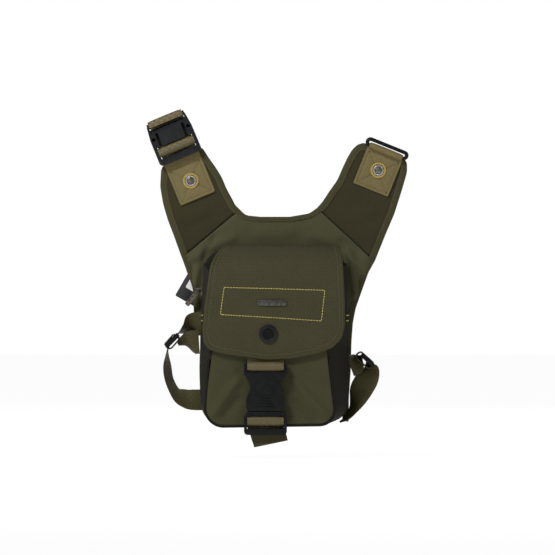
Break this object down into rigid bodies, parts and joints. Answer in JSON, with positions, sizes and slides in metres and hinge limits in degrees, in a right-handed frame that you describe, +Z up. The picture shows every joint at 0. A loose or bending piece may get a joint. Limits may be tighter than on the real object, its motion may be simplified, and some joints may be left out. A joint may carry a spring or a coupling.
{
  "type": "binocular harness pack",
  "caption": "Padded chest pouch with a buckled front flap, a zipped rear compartment, two shoulder arms with strap hardware and side strap loops.",
  "frame": {"origin": "middle of the back pad's rear face, the face that lies against the wearer's chest", "axes": "+X towards the pack's right as seen from the front, +Y out of the back pad towards the wearer, +Z up; the pack faces -Y"},
  "size_m": [0.2762, 0.0825, 0.3552],
  "materials": {
    "pack_fabric": "olive drab woven nylon, coated inside",
    "panel_fabric": "lighter olive woven nylon over foam",
    "air_mesh": "dark spacer mesh and binding tape",
    "zip_tape": "woven polyester zip tape with nylon coil",
    "tan_webbing": "tan ribbed nylon webbing",
    "olive_webbing": "olive ribbed nylon webbing",
    "buckle_plastic": "black moulded acetal, fine satin",
    "zip_metal": "dark lacquered zinc casting",
    "snap_metal": "nickel plated pressed steel",
    "eyelet": "brass coloured lacquer",
    "tag_card": "laminated card, blank"
  },
  "bodies": {
    "pack_body": {"back_pad": "air_mesh", "chest_panel": "panel_fabric", "rear_compartment_gusset": "pack_fabric", "zip_tape_rear": "zip_tape", "zip_tape_front": "zip_tape", "zip_coil": "zip_tape", "pouch_back_wall": "pack_fabric", "pouch_gusset": "pack_fabric", "pouch_front_panel": "pack_fabric", "pouch_piping": "air_mesh", "closure_strap_anchor": "tan_webbing"},
    "left_arm": {"left_shoulder_arm": "pack_fabric", "left_tab": "tan_webbing", "left_tab_roll": "tan_webbing", "left_adjuster": "buckle_plastic", "left_eyelet": "eyelet", "left_snap_ring": "snap_metal", "left_snap_stud": "snap_metal"},
    "strap_end": {"shoulder_strap": "tan_webbing"},
    "right_arm": {"right_shoulder_arm": "pack_fabric", "right_tab": "tan_webbing", "right_eyelet": "eyelet", "right_snap_ring": "snap_metal", "right_snap_stud": "snap_metal"},
    "shoulder_ring": {"right_ring": "buckle_plastic"},
    "front_flap": {"flap": "pack_fabric", "flap_badge": "zip_metal", "flap_port_ring": "buckle_plastic", "flap_port_mesh": "air_mesh", "flap_strap": "tan_webbing", "front_buckle_female": "buckle_plastic"},
    "buckle_plug": {"front_buckle_male": "buckle_plastic", "closure_strap_roll": "tan_webbing", "closure_strap_tail": "tan_webbing"},
    "prong_left": {"front_buckle_prong_left": "buckle_plastic"},
    "prong_right": {"front_buckle_prong_right": "buckle_plastic"},
    "slider": {"zip_slider": "zip_metal"},
    "pull_tab": {"zip_pull": "zip_metal"},
    "left_side_strap": {"left_strap_upper": "olive_webbing", "left_ladder_lock": "buckle_plastic", "left_strap_loop": "olive_webbing", "left_strap_tail": "olive_webbing"},
    "right_side_strap": {"right_strap_upper": "olive_webbing", "right_ladder_lock": "buckle_plastic", "right_strap_loop": "olive_webbing"},
    "tag": {"swing_tag": "tag_card"}
  },
  "joints": [
    {"name": "left_arm_fold", "type": "hinge", "parent": "pack_body", "child": "left_arm", "pos_m": [-0.06915, -0.0073, 0.10125], "axis": [-0.7677, 0, -0.6408], "range_deg": [-15, 60]},
    {"name": "right_arm_fold", "type": "hinge", "parent": "pack_body", "child": "right_arm", "pos_m": [0.073, -0.0073, 0.1002], "axis": [-0.7315, 0, 0.6819], "range_deg": [-15, 60]},
    {"name": "shoulder_strap_swing", "type": "hinge", "parent": "left_arm", "child": "strap_end", "pos_m": [-0.11669, -0.0217, 0.22087], "axis": [0.9239, 0, 0.3827], "range_deg": [0, 150]},
    {"name": "ring_swivel", "type": "hinge", "parent": "right_arm", "child": "shoulder_ring", "pos_m": [0.1152, -0.0192, 0.18763], "axis": [0.9272, 0, -0.3746], "range_deg": [0, 90]},
    {"name": "flap_hinge", "type": "hinge", "parent": "pack_body", "child": "front_flap", "pos_m": [0, -0.0345, 0.087], "axis": [-1, 0, 0], "range_deg": [0, 120]},
    {"name": "buckle_release", "type": "slide", "parent": "pack_body", "child": "buckle_plug", "axis": [0, 0, -1], "range_m": [0, 0.028]},
    {"name": "prong_squeeze_left", "type": "hinge", "parent": "buckle_plug", "child": "prong_left", "pos_m": [-0.0239, -0.0765, -0.084], "axis": [0, 1, 0], "range_deg": [0, 7], "stiffness_Nm_per_rad": 0.05},
    {"name": "prong_squeeze_right", "type": "hinge", "parent": "buckle_plug", "child": "prong_right", "pos_m": [0.0009, -0.0765, -0.084], "axis": [0, 1, 0], "range_deg": [-7, 0], "stiffness_Nm_per_rad": 0.05},
    {"name": "zip_slide", "type": "slide", "parent": "pack_body", "child": "slider", "axis": [0, 0, 1], "range_m": [0, 0.014]},
    {"name": "pull_flip", "type": "hinge", "parent": "slider", "child": "pull_tab", "pos_m": [-0.0821, -0.0246, 0.041], "axis": [0, 1, 0], "range_deg": [-5, 100]},
    {"name": "left_strap_swing", "type": "hinge", "parent": "pack_body", "child": "left_side_strap", "pos_m": [-0.08045, -0.02505, -0.027], "axis": [-0.031, -0.0993, 0.9946], "range_deg": [-12, 12]},
    {"name": "right_strap_swing", "type": "hinge", "parent": "pack_body", "child": "right_side_strap", "pos_m": [0.066, -0.024, -0.0962], "axis": [0.2248, -0.0682, 0.972], "range_deg": [-10, 0]},
    {"name": "tag_pivot", "type": "hinge", "parent": "pack_body", "child": "tag", "pos_m": [-0.0911, -0.0061, 0.0317], "axis": [0, 1, 0], "range_deg": [-12, 5]}
  ],
  "couplings": [
    {"joint": "prong_squeeze_right", "follows": "prong_squeeze_left", "ratio": -1}
  ]
}
